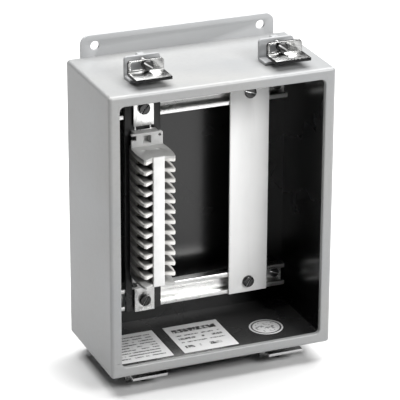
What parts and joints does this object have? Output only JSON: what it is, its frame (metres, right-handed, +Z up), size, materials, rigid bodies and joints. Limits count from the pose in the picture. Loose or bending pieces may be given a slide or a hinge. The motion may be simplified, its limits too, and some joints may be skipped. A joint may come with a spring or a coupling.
{
  "type": "terminal enclosure",
  "caption": "Wall-mounted sheet-steel terminal box shown open, with screw clamps for its cover, slotted rails, a strap with a barrier terminal block and a blank mounting strap.",
  "frame": {"origin": "centre of the wall-mounting hole pattern, on the wall plane behind the brackets", "axes": "+X to the right seen from the front, +Y into the wall, +Z up"},
  "size_m": [0.2032, 0.1043, 0.2922],
  "materials": {
    "enclosure_paint": "light grey enamel outside, black inside",
    "clamp_steel": "bright plated steel",
    "screw_steel": "dark plated steel",
    "rail_steel": "bright zinc-plated steel",
    "strap_paint": "satin white enamel",
    "black_paint": "satin black",
    "block_moulding": "ivory moulding",
    "contact_metal": "nickel-plated",
    "marking_white": "satin white",
    "anchor_moulding": "light grey moulding",
    "label_paper": "satin film"
  },
  "bodies": {
    "enclosure": {"enclosure_body": "enclosure_paint", "wall_bracket_top": "enclosure_paint", "wall_bracket_bottom": "enclosure_paint", "clamp_weld_nuts": "enclosure_paint", "rail_upper": "rail_steel", "rail_lower": "rail_steel", "rail_standoffs": "rail_steel", "rail_screws": "screw_steel", "label_left": "label_paper", "label_middle": "label_paper", "label_round": "label_paper", "clamp_ear_top_left": "enclosure_paint", "clamp_ear_top_right": "enclosure_paint", "clamp_ear_bottom_left": "enclosure_paint", "clamp_ear_bottom_right": "enclosure_paint"},
    "blank_strap_assembly": {"blank_strap": "strap_paint", "blank_strap_screws": "screw_steel", "blank_strap_nuts": "rail_steel"},
    "terminal_strap_assembly": {"terminal_strap": "black_paint", "terminal_strap_screws": "screw_steel", "terminal_strap_nuts": "rail_steel", "terminal_channel": "rail_steel", "end_plate_upper": "block_moulding", "end_plate_lower": "block_moulding", "terminal_contacts": "contact_metal", "terminal_screws": "contact_metal", "pressure_plates": "contact_metal", "marking_strip": "marking_white", "end_anchor_upper": "anchor_moulding", "end_anchor_lower": "anchor_moulding", "terminal_section_01": "block_moulding", "terminal_section_02": "block_moulding", "terminal_section_03": "block_moulding", "terminal_section_04": "block_moulding", "terminal_section_05": "block_moulding", "terminal_section_06": "block_moulding", "terminal_section_07": "block_moulding", "terminal_section_08": "block_moulding", "terminal_section_09": "block_moulding", "terminal_section_10": "block_moulding", "terminal_section_11": "block_moulding", "terminal_section_12": "block_moulding"},
    "ring_top_left": {"clamp_ring_top_left": "screw_steel"},
    "clamp_top_left": {"cover_clamp_top_left": "clamp_steel"},
    "screw_top_left": {"clamp_screw_top_left": "screw_steel"},
    "ring_top_right": {"clamp_ring_top_right": "screw_steel"},
    "clamp_top_right": {"cover_clamp_top_right": "clamp_steel"},
    "screw_top_right": {"clamp_screw_top_right": "screw_steel"},
    "ring_bottom_left": {"clamp_ring_bottom_left": "screw_steel"},
    "clamp_bottom_left": {"cover_clamp_bottom_left": "clamp_steel"},
    "screw_bottom_left": {"clamp_screw_bottom_left": "screw_steel"},
    "ring_bottom_right": {"clamp_ring_bottom_right": "screw_steel"},
    "clamp_bottom_right": {"cover_clamp_bottom_right": "clamp_steel"},
    "screw_bottom_right": {"clamp_screw_bottom_right": "screw_steel"}
  },
  "joints": [
    {"name": "clamp_slide_top_left", "type": "slide", "parent": "enclosure", "child": "ring_top_left", "axis": [0, 1, 0], "range_m": [-0.004, 0.0075]},
    {"name": "screw_turn_top_left", "type": "hinge", "parent": "ring_top_left", "child": "screw_top_left", "pos_m": [-0.0575, -0.0773, 0.1414], "axis": [0, 1, 0], "range_deg": [-1365, 2556]},
    {"name": "clamp_shift_top_left", "type": "slide", "parent": "ring_top_left", "child": "clamp_top_left", "axis": [1, 0, 0], "range_m": [-0.0003, 0.012]},
    {"name": "clamp_slide_top_right", "type": "slide", "parent": "enclosure", "child": "ring_top_right", "axis": [0, 1, 0], "range_m": [-0.004, 0.0075]},
    {"name": "screw_turn_top_right", "type": "hinge", "parent": "ring_top_right", "child": "screw_top_right", "pos_m": [0.0635, -0.0773, 0.1414], "axis": [0, 1, 0], "range_deg": [-1365, 2556]},
    {"name": "clamp_shift_top_right", "type": "slide", "parent": "ring_top_right", "child": "clamp_top_right", "axis": [1, 0, 0], "range_m": [-0.0041, 0.0083]},
    {"name": "clamp_slide_bottom_left", "type": "slide", "parent": "enclosure", "child": "ring_bottom_left", "axis": [0, 1, 0], "range_m": [-0.004, 0.0075]},
    {"name": "screw_turn_bottom_left", "type": "hinge", "parent": "ring_bottom_left", "child": "screw_bottom_left", "pos_m": [-0.0635, -0.0773, -0.1414], "axis": [0, 1, 0], "range_deg": [-1365, 2556]},
    {"name": "clamp_shift_bottom_left", "type": "slide", "parent": "ring_bottom_left", "child": "clamp_bottom_left", "axis": [1, 0, 0], "range_m": [-0.0107, 0.0017]},
    {"name": "clamp_slide_bottom_right", "type": "slide", "parent": "enclosure", "child": "ring_bottom_right", "axis": [0, 1, 0], "range_m": [-0.004, 0.0075]},
    {"name": "screw_turn_bottom_right", "type": "hinge", "parent": "ring_bottom_right", "child": "screw_bottom_right", "pos_m": [0.0635, -0.0773, -0.1414], "axis": [0, 1, 0], "range_deg": [-1365, 2556]},
    {"name": "clamp_shift_bottom_right", "type": "slide", "parent": "ring_bottom_right", "child": "clamp_bottom_right", "axis": [1, 0, 0], "range_m": [-0.0107, 0.0017]},
    {"name": "blank_strap_slide", "type": "slide", "parent": "enclosure", "child": "blank_strap_assembly", "axis": [1, 0, 0], "range_m": [-0.045, 0.018]},
    {"name": "terminal_strap_slide", "type": "slide", "parent": "enclosure", "child": "terminal_strap_assembly", "axis": [1, 0, 0], "range_m": [-0.024, 0.012]}
  ],
  "couplings": [
    {"joint": "screw_turn_top_left", "follows": "clamp_slide_top_left", "rad_per_m": 5938.7},
    {"joint": "screw_turn_top_right", "follows": "clamp_slide_top_right", "rad_per_m": 5938.7},
    {"joint": "screw_turn_bottom_left", "follows": "clamp_slide_bottom_left", "rad_per_m": 5938.7},
    {"joint": "screw_turn_bottom_right", "follows": "clamp_slide_bottom_right", "rad_per_m": 5938.7}
  ]
}
